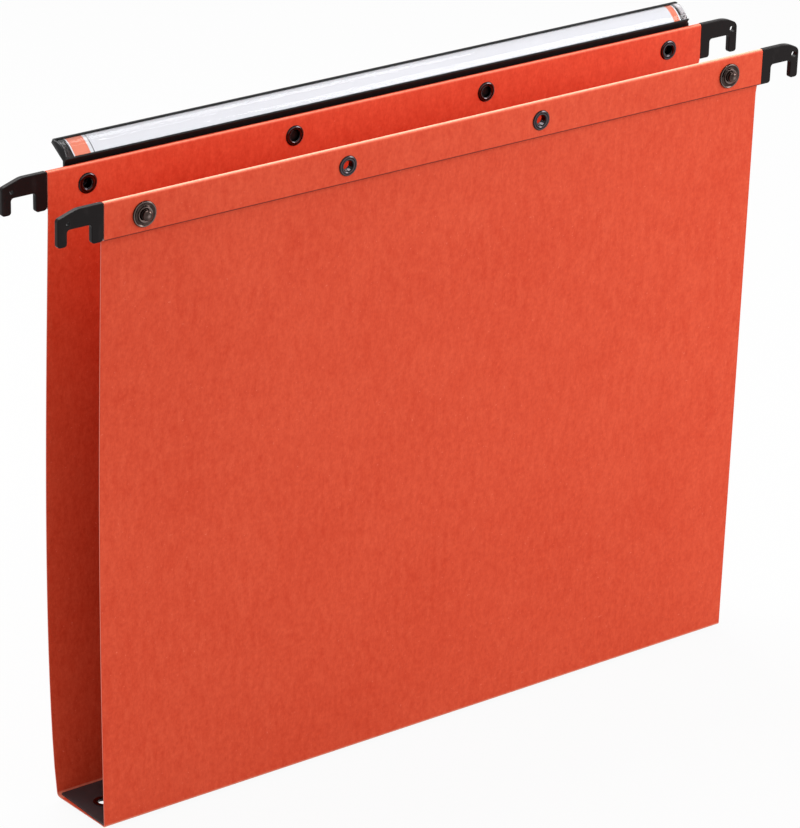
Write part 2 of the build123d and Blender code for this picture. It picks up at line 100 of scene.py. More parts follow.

# Metal fasteners: where their flanges sit, and how their crests are rubbed and painted paler as highlights
FASTENER_MOUNT = {"front": "front_stud_left_knob", "back": "back_socket_left_bore"}
SPIN_STEPS = 56
CORNER_STEPS = 5
CREST_WEAR_AND_HIGHLIGHT = 0.28 * MM  # how far round a crest the metal is rubbed and painted paler, as a highlight
OUTER_SEAT = 2.2 * MM
INNER_SEAT = -0.2 * MM
BASE_SEAT = 1.2 * MM

# Outlines of the fasteners in millimetres: radius, height over the seat, and rounding of each corner
HEM_GRIP = 2.4
HEM_CURL = 0.45
BASE_GRIP = 0.95
BASE_CURL = 0.22
FLANGE = [(2.4, 0, 0), (4.0, 0, 0), (4.0, 0.26, 0.12), (3.5, 0.62, 0.36), (2.62, 0.62, 0.34)]
FLAT_FLANGE = [(2.4, 0, 0), (4.0, 0, 0), (4.0, 0.16, 0.08), (3.5, 0.36, 0.2), (2.62, 0.36, 0.2)]
RIVET = [(0, -3.25, 0), (2.4, -3.25, 0.1)] + FLANGE + [(1.8, 0.15, 0.2), (1.8, -2.95, 0.3), (0, -2.95, 0)]
DISC = [(2.45, 0.9, 0), (2.45, 0, 0), (5.0, 0, 0), (5.0, 0.5, 0.2), (4.6, 0.8, 0.22), (4.2, 0.45, 0.16)]
STUD = [(0, 0.9, 0)] + DISC + [
    (3.3, 0.45, 0.16), (3.1, 1.12, 0.2), (2.7, 1.15, 0.15), (1.7, 0.9, 0.2), (1.7, 1.6, 0.15),
    (2.05, 1.9, 0.15), (2.05, 2.6, 0.3), (1.4, 3.2, 0.45), (0, 3.3, 0),
]
SOCKET = DISC + [
    (3.2, 0.45, 0.16), (3.1, 2.4, 0.15), (2.9, 2.6, 0.12), (2.35, 2.6, 0.1), (2.15, 2.4, 0.08),
    (2.15, 2.3, 0), (2.6, 2.3, 0), (2.6, 1.6, 0), (2.15, 1.6, 0), (2.15, 0.9, 0),
]

# Label holder, measured up its slope and out of it from its lower corner on the back panel
HOLDER_CORNER = Vector((0, 2.7 * MM, 255.3 * MM))
HOLDER_SLOPE = radians(32)
HOLDER_WIDTH = 10.4 * MM
HOLDER_EDGE = 0.12 * MM
COVER_FOOT = 0.6 * MM
COVER_CROWN = 0.85 * MM
COVER_WALL = 0.6 * MM
COVER_LEVELS = (1.25 * MM, 1.75 * MM, 3.65 * MM)  # underside, top of the feet, top of the crown
COVER_STEPS = 24
COVER_EDGE = 0.12 * MM
FROST_AND_GLINT = 1.7 * MM  # frosted strip near the cover's sawn end, painted whitish as a highlight
LABEL_WIDTH = 8.7 * MM
LABEL_LEVEL = 1.025 * MM
LABEL_THICKNESS = 0.25 * MM
LABEL_TEETH = 0.6 * MM  # pitch of the perforated long edges
TOOTH_DEPTH = 0.35 * MM
BLOCK_MARGIN = 0.5 * MM
COLOUR_BLOCK = 7.2 * MM
RULE_GAP = 1.4 * MM
RULE_WIDTH = 0.35 * MM
END_MARGIN = 0.6 * MM
COLOUR_END = 3.0 * MM

# Studio. The bowed back panel reaches lower than the base when it lies open, so the floor lies under both.
FLOOR_LEVEL = -2.0 * MM
FLOOR_HALF = 6.0
FLOOR_WHITENESS = 0.94
ROOM_LIGHT = 0.75
LAMPS = (  # name, place, width and power
    ("key_lamp", (0.80, -0.60, 0.60), 0.5, 6.4),
    ("rim_lamp", (0.0, 0.45, 1.0), 0.6, 11.2),
    ("glint_lamp", (0.1, -0.15, 1.2), 0.12, 1.0),
)
LAMP_AIM = Vector((0, 0, 0.14))

# Photograph's viewpoint
AZIMUTH = radians(-37.331)
ELEVATION = radians(23.765)
ROLL = radians(1.473)
DISTANCE = 1613.74 * MM
AIM = Vector((-5.55 * MM, 0.19 * MM, 129.6 * MM))
FOCAL_PIXELS = 4145.75
PHOTO_HEIGHT = 828
SENSOR = 36.0

joints = {joint["name"]: joint for joint in frame["joints"]}
mounts = {mount["name"]: mount for mount in frame["record"]["mounts"]}


class Wire:
    """An output in a node tree, on which arithmetic adds Math nodes."""

    def __init__(self, nodes, socket):
        self.nodes = nodes
        self.socket = socket

    def maths(self, operation, first, second=0.0):
        return self.nodes.add("Math", {0: first, 1: second}, operation=operation)

    def __add__(self, other):
        return self.maths("ADD", self, other)

    def __radd__(self, other):
        return self.maths("ADD", other, self)

    def __rsub__(self, other):
        return self.maths("SUBTRACT", other, self)

    def __mul__(self, other):
        return self.maths("MULTIPLY", self, other)

    def __gt__(self, other):
        return self.maths("GREATER_THAN", self, other)

    def __lt__(self, other):
        return self.maths("LESS_THAN", self, other)


class Nodes:
    """A node tree that is built up one node at a time."""

    def __init__(self, tree):
        self.tree = tree

    def feed(self, socket, value):
        if isinstance(value, Wire):
            self.tree.links.new(value.socket, socket)
        else:
            socket.default_value = value

    def add(self, kind, sockets=None, output=0, **settings):
        """A node with its settings and its sockets' values or links. Gives one output."""
        node = self.tree.nodes.new("ShaderNode" + kind)
        for name, value in settings.items():
            setattr(node, name, value)
        for name, value in (sockets or {}).items():
            self.feed(node.inputs[name], value)
        return Wire(self, node.outputs[output])

    def span(self, value, low, high, start=0.0, end=1.0):
        """The value stretched from low and high to start and end, and held there."""
        sockets = {"Value": value, "From Min": low, "From Max": high, "To Min": start, "To Max": end}
        return self.add("MapRange", sockets, clamp=True)

    def whiteness(self):
        """1 for what the camera sees, straight or in metal and clear plastic, and 0 for light itself."""
        kinds = ("Camera", "Glossy", "Transmission")
        seen = sum(self.add("LightPath", output=f"Is {kind} Ray") for kind in kinds)
        return seen * (self.add("LightPath", output="Diffuse Depth") < 0.5)


class Finish(Nodes):
    """One material, built up from nodes on its Principled shader."""

    def __init__(self, name, **constants):
        self.material = bpy.data.materials.new(name)
        self.material.use_nodes = True
        super().__init__(self.material.node_tree)
        self.shader = self.tree.nodes["Principled BSDF"]
        self.output = self.tree.nodes["Material Output"]
        for socket, value in constants.items():
            self.set(socket.replace("_", " ").title().replace("Ior", "IOR"), value)

    def set(self, socket, value):
        self.feed(self.shader.inputs[socket], value)

    def blend(self, share, second):
        """Shows a second shader in place of what was shown as share goes from 0 to 1."""
        body = Wire(self, self.output.inputs["Surface"].links[0].from_socket)
        self.feed(self.output.inputs["Surface"], self.add("MixShader", {0: share, 1: body, 2: second}))

    def place(self):
        """Object coordinates, in metres in the folder's frame."""
        return self.add("TexCoord", output="Object")

    def grain(self, scale, detail=3.0, stretch=(1, 1, 1), roughness=0.55):
        """Noise with that many cells to the metre, from 0 to 1 about a half."""
        spot = self.add("Mapping", {"Vector": self.place(), "Scale": stretch})
        sockets = {"Vector": spot, "Scale": scale, "Detail": detail, "Roughness": roughness}
        return self.add("TexNoise", sockets, output="Fac")

    def mix(self, share, first, second):
        """Colour that goes from first to second as share goes from 0 to 1."""
        return self.add("Mix", {0: share, 6: first, 7: second}, output=2, data_type="RGBA")

    def bump(self, height, strength, distance):
        sockets = {"Height": height, "Strength": strength, "Distance": distance}
        self.set("Normal", self.add("Bump", sockets))


def shade(red, green, blue):
    """Colour with full alpha."""
    return (red, green, blue, 1.0)


def card_finish():
    """Dyed card, mottled and fibrous; folds and creases painted paler as highlight (folds also rubbed), flap's
    foot painted dark as shade.
    """
    card = Finish("dyed_card", specular_ior_level=0.3)
    clouds = card.grain(22, 2.0)
    blotches = card.grain(260, 2.0, stretch=(1.5, 1.5, 0.6))
    mottle = card.grain(620, 4.0, roughness=0.62)
    fibres = card.grain(1300, 3.0, stretch=(1.6, 1.6, 0.45))
    flecks = card.span(card.grain(800, 2.0), 0.69, 0.78)
    wear_and_highlight = card.add("Attribute", output="Fac", attribute_name="wear_and_highlight")
    painted_flap_shade = card.add("Attribute", output="Fac", attribute_name="painted_flap_shade")
    tone = card.span(clouds * 0.2 + blotches * 0.36 + mottle * 0.5 + fibres * 0.3, 0.52, 0.84)
    dye = card.mix(tone, shade(0.630, 0.046, 0.011), shade(0.751, 0.089, 0.034))
    # folds painted paler as rubbing and as painted highlight, creases painted paler as highlight
    rubbed = card.mix(wear_and_highlight * card.span(mottle, 0.35, 0.6, 0.75, 1.0), dye, shade(0.94, 0.42, 0.28))
    flecked = card.mix(flecks * 0.35, rubbed, shade(0.90, 0.25, 0.16))
    # painted shade: the flap's foot darkened as the shade under it
    card.set("Base Color", card.mix(painted_flap_shade, flecked, shade(0.12, 0.007, 0.004)))
    card.set("Roughness", card.span(mottle, 0.3, 0.7, 0.62, 0.78))
    card.bump(mottle * 0.6 + fibres * 0.4, 0.22, 0.1 * MM)
    return card.material


def card_edge_finish():
    """Cut edge of the card: paler, with its layers showing as fine lines."""
    edge = Finish("card_cut_edge", specular_ior_level=0.15, roughness=0.9)
    layers = edge.grain(2600, 2.0, stretch=(1, 1, 0.3))
    edge.set("Base Color", edge.mix(layers, shade(0.74, 0.18, 0.13), shade(0.88, 0.32, 0.25)))
    edge.bump(layers, 0.3, 0.08 * MM)
    return edge.material


def board_finish():
    """Black board: pressed fibres with a soft sheen."""
    board = Finish("black_board", specular_ior_level=0.25)
    fibres = board.grain(700, 4.0, stretch=(0.5, 1.4, 1))
    clouds = board.grain(60, 2.0)
    tone = board.span(fibres * 0.6 + clouds * 0.4, 0.3, 0.7)
    board.set("Base Color", board.mix(tone, shade(0.027, 0.019, 0.021), shade(0.061, 0.046, 0.049)))
    board.set("Roughness", board.span(fibres, 0.3, 0.7, 0.5, 0.68))
    board.bump(fibres, 0.25, 0.1 * MM)
    return board.material


def hook_finish():
    """Moulded black plastic with a spark-eroded grain, worn a little paler."""
    hook = Finish("hook_plastic", specular_ior_level=0.1)
    grain = hook.grain(2400, 3.0)
    scuffs = hook.span(hook.grain(240, 5.0, stretch=(1, 1, 0.5)), 0.56, 0.72)
    scuffed = hook.mix(scuffs * 0.5, shade(0.010, 0.0075, 0.0075), shade(0.022, 0.017, 0.017))
    hook.set("Base Color", scuffed)
    hook.set("Roughness", hook.span(grain, 0.3, 0.7, 0.28, 0.38) + scuffs * 0.1)
    hook.bump(grain, 0.16, 0.05 * MM)
    return hook.material


def holder_finish():
    """Extruded black plastic, drawn out lengthways."""
    holder = Finish("holder_plastic", specular_ior_level=0.14)
    drawn = holder.grain(1500, 2.0, stretch=(0.02, 1, 1))
    dust = holder.span(holder.grain(1300, 2.0), 0.66, 0.76)
    dusty = holder.mix(dust * 0.25, shade(0.008, 0.008, 0.0085), shade(0.04, 0.04, 0.04))
    holder.set("Base Color", dusty)
    holder.set("Roughness", holder.span(drawn, 0.3, 0.7, 0.30, 0.42))
    holder.bump(drawn, 0.1, 0.04 * MM)
    return holder.material


def blackened_finish(name, dark, rubbed, bare_and_highlight):
    """Blackened brass: stained dark, with spots rubbed paler and its crests rubbed and painted paler still, as
    highlights.
    """
    metal = Finish(name, metallic=1.0)
    stain = metal.grain(900, 4.0)
    rub = metal.span(metal.grain(330, 3.0), 0.45, 0.72)
    crest_wear_and_highlight = metal.add("Attribute", output="Fac", attribute_name="crest_wear_and_highlight")
    metal.set("Base Color", metal.mix(crest_wear_and_highlight, metal.mix(rub * 0.7, dark, rubbed), bare_and_highlight))
    metal.set("Roughness", metal.span(stain, 0.3, 0.7, 0.06, 0.14))
    metal.bump(stain, 0.05, 0.03 * MM)
    return metal.material


def steel_finish(name, along):
    """Drawn or rolled steel with fine lines along it."""
    steel = Finish(name, metallic=1.0)
    lines = steel.grain(1800, 3.0, stretch=along)
    steel.set("Base Color", steel.mix(lines, shade(0.42, 0.42, 0.43), shade(0.62, 0.62, 0.63)))
    steel.set("Roughness", steel.span(lines, 0.3, 0.7, 0.28, 0.42))
    steel.bump(lines, 0.08, 0.03 * MM)
    return steel.material


def cover_finish(end):
    """Thin clear plastic, frosted at its sawn end, where the whitish band stands as a painted highlight. It lets
    light through, so the label is evenly lit.
    """
    cover = Finish("clear_cover", transmission_weight=1.0, ior=1.22, specular_ior_level=0.1)
    cover.set("Base Color", shade(0.97, 0.98, 0.985))
    haze = cover.grain(300, 3.0, stretch=(0.1, 1, 1))
    cover.set("Roughness", cover.span(haze, 0.4, 0.7, 0.02, 0.035))
    x = cover.add("SeparateXYZ", {0: cover.place()}, output="X")
    patches = cover.span(cover.grain(420, 2.0), 0.35, 0.55, 0.2, 0.8)
    # whitish frosted band near the sawn end, standing as a painted highlight
    frosted_glint = cover.span(x, end - 2 * FROST_AND_GLINT, end - FROST_AND_GLINT) * (x < end - FROST_AND_GLINT / 2) * patches
    cover.blend(frosted_glint, cover.add("BsdfDiffuse", {"Color": shade(0.50, 0.48, 0.50)}))
    cover.blend(1 - cover.whiteness(), cover.add("BsdfTransparent"))
    return cover.material


def label_finish(start, end):
    """White paper with a plain colour block, a thin ruled line and a colour band along the label."""
    paper = Finish("label_paper", specular_ior_level=0.3, roughness=0.7)
    x = paper.add("SeparateXYZ", {0: paper.place()}, output="X")
    fibres = paper.grain(1200, 3.0)
    sheet = paper.mix(fibres, shade(0.46, 0.465, 0.50), shade(0.52, 0.52, 0.545))
    ink = paper.mix(fibres, shade(0.52, 0.11, 0.055), shade(0.60, 0.17, 0.10))
    block = (x > start + BLOCK_MARGIN) * (x < start + COLOUR_BLOCK)
    band = (x > end - END_MARGIN - COLOUR_END) * (x < end - END_MARGIN)
    ruled = start + COLOUR_BLOCK + RULE_GAP
    rule = (x > ruled) * (x < ruled + RULE_WIDTH)
    printed = paper.mix(block + band, sheet, ink)
    paper.set("Base Color", paper.mix(rule, printed, shade(0.02, 0.02, 0.025)))
    paper.bump(fibres, 0.1, 0.05 * MM)
    return paper.material


def floor_finish():
    """Pale floor that shows the camera near white and still takes the object's shadow."""
    floor = Finish("pale_floor", base_color=shade(0.5, 0.5, 0.5), roughness=0.9)
    glow = floor.add("Emission", {"Color": shade(1, 1, 1), "Strength": 1.0})
    floor.blend(floor.whiteness() * FLOOR_WHITENESS, glow)
    return floor.material


def middle(node):
    """Middle of a solid's box."""
    low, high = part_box(node)
    return (low + high) / 2


def panel_frame(end):
    """Turns x across, y out of the folder and z up the card from its crease into the folder's frame."""
    out = Vector(mounts[FASTENER_MOUNT[end]]["axis"])
    up = -Vector(mounts[f"{end}_hook_left_seat"]["axis"])
    turn = Matrix((Vector((1, 0, 0)), out, up)).transposed().to_4x4()
    return Matrix.Translation(joints[f"{end}_fold"]["pos_m"]) @ turn


def fastener_height(end):
    """How far up the card the hem's fasteners sit."""
    return (panel_frame(end).inverted() @ Vector(mounts[FASTENER_MOUNT[end]]["pos_m"])).z


def holder_frame():
    """Turns x across, y up the label's slope and z out of it into the folder's frame."""
    slope = Matrix.Rotation(HOLDER_SLOPE, 4, "X")
    return panel_frame("back") @ Matrix.Translation(HOLDER_CORNER) @ slope


def finished(name, shape, materials, replaced=(), sharp=40):
    """Object made of a bmesh, smooth except at sharp edges, standing for the solids that it replaces."""
    mesh = bpy.data.meshes.new(name)
    shape.edges.index_update()
    rims = [line.index for line in shape.edges if line.is_boundary]
    shape.to_mesh(mesh)
    shape.free()
    mesh.shade_smooth()
    mesh.set_sharp_from_angle(angle=radians(sharp))
    for rim in rims:
        mesh.edges[rim].use_edge_sharp = True
    for material in materials:
        mesh.materials.append(material)
    made = bpy.data.objects.new(name, mesh)
    bpy.context.scene.collection.objects.link(made)
    if replaced:
        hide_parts(*replaced)
    return made


def chain(shape, points, close=False):
    """Vertices joined in a row by edges."""
    row = [shape.verts.new(point) for point in points]
    pairs = list(zip(row, row[1:]))
    if close:
        pairs.append((row[-1], row[0]))
    for pair in pairs:
        shape.edges.new(pair)
    return row


def round_off(shape, corners, radius, segments):
    """Rounds corners of a row of edges."""
    bmesh.ops.bevel(
        shape, geom=corners, offset=radius, segments=segments, profile=0.5, affect="VERTICES", material=-1
    )


def cut_across(shape, point, normal):
    """Adds an edge all round the shape where a plane crosses it."""
    everything = shape.verts[:] + shape.edges[:] + shape.faces[:]
    bmesh.ops.bisect_plane(shape, geom=everything, dist=1e-7, plane_co=point, plane_no=normal)


def punch(shape, centre, radius):
    """Round hole in the one square face whose middle is at the centre."""
    square = min(shape.faces, key=lambda face: (face.calc_center_median() - centre).length)
    bmesh.ops.bisect_edges(shape, edges=square.edges[:], cuts=HOLE_SIDES // 4 - 1)
    outer = square.edges[:]
    bmesh.ops.delete(shape, geom=[square], context="FACES_ONLY")
    made = bmesh.ops.extrude_edge_only(shape, edges=outer)["geom"]
    for vert in [part for part in made if isinstance(part, bmesh.types.BMVert)]:
        vert.co = centre + (vert.co - centre).normalized() * radius


def thicken(card, thickness):
    """Gives a sheet its thickness, with its cut edges in the second material."""
    wall = card.modifiers.new("thickness", "SOLIDIFY")
    wall.thickness = thickness
    wall.offset = 0
    wall.use_even_offset = True
    wall.material_offset_rim = 1


def panel_reach(end, side, rise):
    """Distance from the folder's middle to one end of a panel's card, part of the way up."""
    shoulder, crease = PANEL_STEP[end][side]
    return HEM_HALF - (crease + (shoulder - crease) * rise)


def bow(end, x, rise):
    """How far a panel's card stands out of its plane, part of the way up."""
    depth, lowness, far = BOW[end]
    left = (HEM_HALF - x) / (2 * HEM_HALF)
    return depth * (far + (1 - far) * left) * sin(pi * rise**lowness)


def card_panel(end):
    """One panel with its crease and its hem, folded out and down over the rail."""
    place = panel_frame(end)
    crease = CREASE[end]
    lean = atan2(abs(place.col[2].y), place.col[2].z)
    fastener_v = fastener_height(end)
    top = PANEL_HEIGHT - CARD / 2
    flap_foot = PANEL_HEIGHT - HEM_HEIGHT + CARD / 2
    shape = bmesh.new()
    row = chain(
        shape,
        [
            (-HEM_HALF, -CREASE_RUN * cos(lean), -CREASE_RUN * sin(lean)),
            (-HEM_HALF, 0, 0),
            (-HEM_HALF, 0, top),
            (-HEM_HALF, HEM_DEPTH, top),
            (-HEM_HALF, HEM_DEPTH, flap_foot),
        ],
    )
    round_off(shape, [row[1]], crease, CREASE_STEPS)
    round_off(shape, [vert for vert in shape.verts if vert.co.z > top - CARD / 4], HEM_FOLD, FOLD_STEPS)
    up = Vector((0, 0, 1))
    across = Vector((1, 0, 0))
    length = across * 2 * HEM_HALF
    bmesh.ops.spin(shape, geom=shape.edges[:], dvec=length, axis=across, angle=0, steps=1)
    for part in range(1, CARD_ROWS):
        cut_across(shape, up * (flap_foot - SHOULDER_TAPER) * part / CARD_ROWS, up)
    for drop in (-FLAP_SHADE, -FLAP_SHADE / 2, 0, SHOULDER_TAPER / 2, SHOULDER_TAPER):
        cut_across(shape, up * (flap_foot - drop), up)
    # height of the painted highlight above the crease
    rubbed = CREASE_HIGHLIGHT[end]
    for level in (rubbed, rubbed + CREASE_HIGHLIGHT_FADE, fastener_v - HOLE_PAD, fastener_v + HOLE_PAD):
        cut_across(shape, up * level, up)
    holes = [middle(f"{end}_{kind}_{side}").x for kind in ("rivet", "eyelet") for side in SIDES]
    for x in holes:
        cut_across(shape, across * (x - HOLE_PAD), across)
        cut_across(shape, across * (x + HOLE_PAD), across)
    stops = sorted([-HEM_HALF, HEM_HALF] + [x + pad for x in holes for pad in (-HOLE_PAD, HOLE_PAD)])
    for low, high in zip(stops[::2], stops[1::2]):
        steps = round((high - low) / CARD_COLUMN)
        for step in range(1, steps):
            cut_across(shape, across * (low + (high - low) * step / steps), across)
    for x in holes:
        for w in (0, HEM_DEPTH):
            punch(shape, Vector((x, w, fastener_v)), HOLE)
    wear_and_highlight = shape.verts.layers.float.new("wear_and_highlight")
    painted_flap_shade = shape.verts.layers.float.new("painted_flap_shade")
    for vert in shape.verts:
        x, w, v = vert.co
        # fold tops painted paler: rubbing, and painted highlight where they face the light
        folded = (max(0.0, v - top + HEM_FOLD) / HEM_FOLD) ** 3 * max(0.0, 1 - (w / FOLD_WEAR_AND_HIGHLIGHT[end]) ** 4)
        # strip above the crease painted paler as highlight
        crease_highlight = (v < rubbed + CREASE_HIGHLIGHT_FADE / 2) * (w < CARD)
        vert[wear_and_highlight] = max(folded, CREASE_HIGHLIGHT_STRENGTH * crease_highlight)
        # painted shade: the flap's foot is painted dark as the shade under it
        vert[painted_flap_shade] = FLAP_SHADE_DARKNESS * (w > CARD) * (v < flap_foot + 0.75 * FLAP_SHADE)
        rise = min(1.0, max(0.0, v / flap_foot))
        taper = min(1.0, max(0.0, (v - flap_foot + SHOULDER_TAPER) / SHOULDER_TAPER))
        if abs(x) > HEM_HALF - CARD:
            step = HEM_HALF - panel_reach(end, SIDES[x > 0], rise)
            vert.co.x -= copysign(step * (1 - taper), x)
        wave = noise.noise(Vector((x * WAVES_ACROSS, v * WAVES_UP, WAVE_SEED[end])))
        if w < CARD:
            vert.co.y += CARD_WAVE * wave * sin(pi * rise) + bow(end, x, rise)
    bmesh.ops.transform(shape, matrix=place, verts=shape.verts[:])
    bmesh.ops.recalc_face_normals(shape, faces=shape.faces[:])
    sheet = finished(f"{end}_card", shape, CARD_FINISHES, [f"{end}_panel"], sharp=60)
    thicken(sheet, CARD)
    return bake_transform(sheet)


def base_sheet():
    """Strip of card between the two creases, with a round hole for each eyelet."""
    front = joints["front_fold"]["pos_m"]
    back = joints["back_fold"]["pos_m"]
    depth = (back[1] - front[1]) / 2 - CREASE_RUN
    shape = bmesh.new()
    bmesh.ops.create_grid(shape, x_segments=1, y_segments=1, size=1)
    bmesh.ops.scale(shape, vec=(HEM_HALF, depth, 1), verts=shape.verts[:])
    for corner in shape.verts:
        end, side = ENDS[corner.co.y > 0], SIDES[corner.co.x > 0]
        corner.co.x = copysign(panel_reach(end, side, 0), corner.co.x)
    across = Vector((1, 0, 0))
    outward = Vector((0, 1, 0))
    holes = [middle(f"base_eyelet_{side}").x for side in SIDES]
    for x in holes:
        cut_across(shape, across * (x - RIM_PAD), across)
        cut_across(shape, across * (x + RIM_PAD), across)
    for y in (-RIM_PAD, RIM_PAD):
        cut_across(shape, outward * y, outward)
    for x in holes:
        punch(shape, Vector((x, 0, 0)), RIM_SEAT)
    bmesh.ops.translate(shape, vec=(0, 0, front[2]), verts=shape.verts[:])
    bmesh.ops.recalc_face_normals(shape, faces=shape.faces[:])
    sheet = finished("base_sheet", shape, CARD_FINISHES, ["base_card"], sharp=60)
    thicken(sheet, CARD)
    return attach(sheet, "base")


def softened(name, node, edge, finish, body):
    """Copy of a solid with its sharp edges broken."""
    shape = bmesh.new()
    shape.from_mesh(frame["nodes"][node].data)
    bmesh.ops.remove_doubles(shape, verts=shape.verts[:], dist=1e-6)
    bmesh.ops.dissolve_limit(shape, angle_limit=radians(1), verts=shape.verts[:], edges=shape.edges[:])
    sharp = [line for line in shape.edges if line.is_manifold and line.calc_face_angle() > radians(40)]
    bmesh.ops.bevel(
        shape,
        geom=sharp,
        offset=edge,
        segments=2,
        profile=0.5,
        affect="EDGES",
        material=-1,
        clamp_overlap=True,
    )
    bmesh.ops.recalc_face_normals(shape, faces=shape.faces[:])
    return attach(finished(name, shape, [finish], [node], sharp=50), body)


def crests(outline):
    """Corners of an outline that neither neighbour stands above, as radius and height."""
    heights = [height for _, height, _ in outline]
    beside = zip(heights[-1:] + heights[:-1], heights[1:] + heights[:1])
    corners = zip(outline, beside)
    return [Vector((radius, height)) * MM for (radius, height, _), pair in corners if height >= max(pair)]


def spun(name, outline, closed, place, body, replaced):
    """Round metal fastener turned from its outline about the upright axis of its place."""
    shape = bmesh.new()
    row = chain(shape, [(radius * MM, 0, height * MM) for radius, height, _ in outline], close=closed)
    for corner, (_, _, rounding) in zip(row, outline):
        if rounding:
            round_off(shape, [corner], rounding * MM, CORNER_STEPS)
    profile = shape.verts[:] + shape.edges[:]
    bmesh.ops.spin(shape, geom=profile, axis=(0, 0, 1), angle=tau, steps=SPIN_STEPS, use_merge=True)
    bmesh.ops.remove_doubles(shape, verts=shape.verts[:], dist=1e-7)
    crest_wear_and_highlight = shape.verts.layers.float.new("crest_wear_and_highlight")
    tops = crests(outline)
    for vert in shape.verts:
        spot = Vector((vert.co.xy.length, vert.co.z))
        # crests painted paler: rubbing, and painted highlight
        vert[crest_wear_and_highlight] = max(0.0, 1 - min((spot - top).length for top in tops) / CREST_WEAR_AND_HIGHLIGHT)
    bmesh.ops.transform(shape, matrix=place, verts=shape.verts[:])
    bmesh.ops.recalc_face_normals(shape, faces=shape.faces[:])
    finish = STUD_BRONZE if "stud" in name or "socket" in name else EYELET_BLACK
    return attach(finished(name, shape, [finish], [replaced], sharp=45), body)


def eyelet_outline(flange, grip, curl):
    """Tube with a flange on the seat and its far end rolled out under the grip."""
    bore = [(2.1, 0.2, 0.2), (2.1, -grip - 0.05, 0.15)]
    rim = [(2.5, -grip - curl, 0.16), (3.2, -grip - curl, 0.16), (3.5, -grip, 0.05), (2.4, -grip, 0)]
    return flange + bore + rim


def hem_fasteners(end):
    """The six metal fasteners of one hem."""
    panel = panel_frame(end)
    kinds = [
        ("stud", STUD, False, True) if end == "front" else ("socket", SOCKET, True, True),
        ("rivet", RIVET, False, False),
        ("eyelet", eyelet_outline(FLANGE, HEM_GRIP, HEM_CURL), True, end == "front"),
    ]
    for kind, outline, closed, outside in kinds:
        for side in SIDES:
            node = f"{end}_{kind}_{side}"
            seat = Vector((middle(node).x, OUTER_SEAT if outside else INNER_SEAT, fastener_height(end)))
            turn = Matrix.Rotation(-pi / 2 if outside else pi / 2, 4, "X")
            spun(f"{node}_turned", outline, closed, panel @ Matrix.Translation(seat) @ turn, end, node)


def base_eyelets():
    """The two eyelets through board and base, with flatter rims."""
    outline = eyelet_outline(FLAT_FLANGE, BASE_GRIP, BASE_CURL)
    for side in SIDES:
        node = f"base_eyelet_{side}"
        place = Matrix.Translation((middle(node).x, 0, BASE_SEAT))
        spun(f"{node}_turned", outline, True, place, "base", node)


def sweep_arch(shape, start, half, rise):
    """Draws an arc from a vertex up over the middle of the holder and down again."""
    radius = (half**2 + rise**2) / (2 * rise)
    centre = start.co + Vector((0, -half, rise - radius))
    bmesh.ops.spin(
        shape, geom=[start], cent=centre, axis=(1, 0, 0), angle=2 * asin(half / radius), steps=COVER_STEPS
    )


def cover_strip():
    """Clear arched strip with a flat foot along each side, over the label."""
    low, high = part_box("label_window")
    underside, foot_top, apex = COVER_LEVELS
    half = HOLDER_WIDTH / 2
    inner = COVER_CROWN + COVER_WALL
    shape = bmesh.new()
    for foot, side in ((COVER_FOOT, 1), (HOLDER_WIDTH - COVER_FOOT, -1)):
        crown = half - side * (half - COVER_CROWN)
        wall = half - side * (half - inner)
        section = [(crown, foot_top), (foot, foot_top), (foot, underside), (wall, underside)]
        row = chain(shape, [(low.x, s, n) for s, n in section])
    sweep_arch(shape, row[0], half - COVER_CROWN, apex - foot_top)
    sweep_arch(shape, row[-1], half - inner, apex - COVER_WALL - underside)
    bmesh.ops.remove_doubles(shape, verts=shape.verts[:], dist=1e-6)
    length = Vector((high.x - low.x, 0, 0))
    bmesh.ops.spin(shape, geom=shape.edges[:], dvec=length, axis=(1, 0, 0), angle=0, steps=1)
    bmesh.ops.holes_fill(shape, edges=shape.edges[:])
    ends = {line for face in shape.faces if len(face.verts) > 4 for line in face.edges}
    bmesh.ops.bevel(
        shape, geom=list(ends), offset=COVER_EDGE, segments=3, profile=0.5, affect="EDGES", material=-1
    )
    bmesh.ops.transform(shape, matrix=holder_frame(), verts=shape.verts[:])
    bmesh.ops.recalc_face_normals(shape, faces=shape.faces[:])
    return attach(finished("label_cover", shape, [COVER], ["label_window"]), "back")


def label_sheet():
    """Paper label with its long edges torn along a perforation."""
    low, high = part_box("label_strip")
    length = high.x - low.x
    steps = 2 * round(length / LABEL_TEETH)
    shape = bmesh.new()
    bmesh.ops.create_grid(shape, x_segments=steps, y_segments=1, size=1)
    bmesh.ops.scale(shape, vec=(length / 2, LABEL_WIDTH / 2, 1), verts=shape.verts[:])
    for vert in shape.verts:
        if round((vert.co.x / length + 0.5) * steps) % 2:
            vert.co.y -= copysign(TOOTH_DEPTH, vert.co.y)
    spot = Vector(((low.x + high.x) / 2, HOLDER_WIDTH / 2, LABEL_LEVEL))
    bmesh.ops.translate(shape, vec=spot, verts=shape.verts[:])
    bmesh.ops.transform(shape, matrix=holder_frame(), verts=shape.verts[:])
    bmesh.ops.recalc_face_normals(shape, faces=shape.faces[:])
    sheet = finished("paper_label", shape, [label_finish(low.x, high.x)], ["label_strip"])
    thicken(sheet, LABEL_THICKNESS)
    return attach(sheet, "label")


CARD_FINISHES = (card_finish(), card_edge_finish())
BOARD = board_finish()
HOOK = hook_finish()
HOLDER = holder_finish()
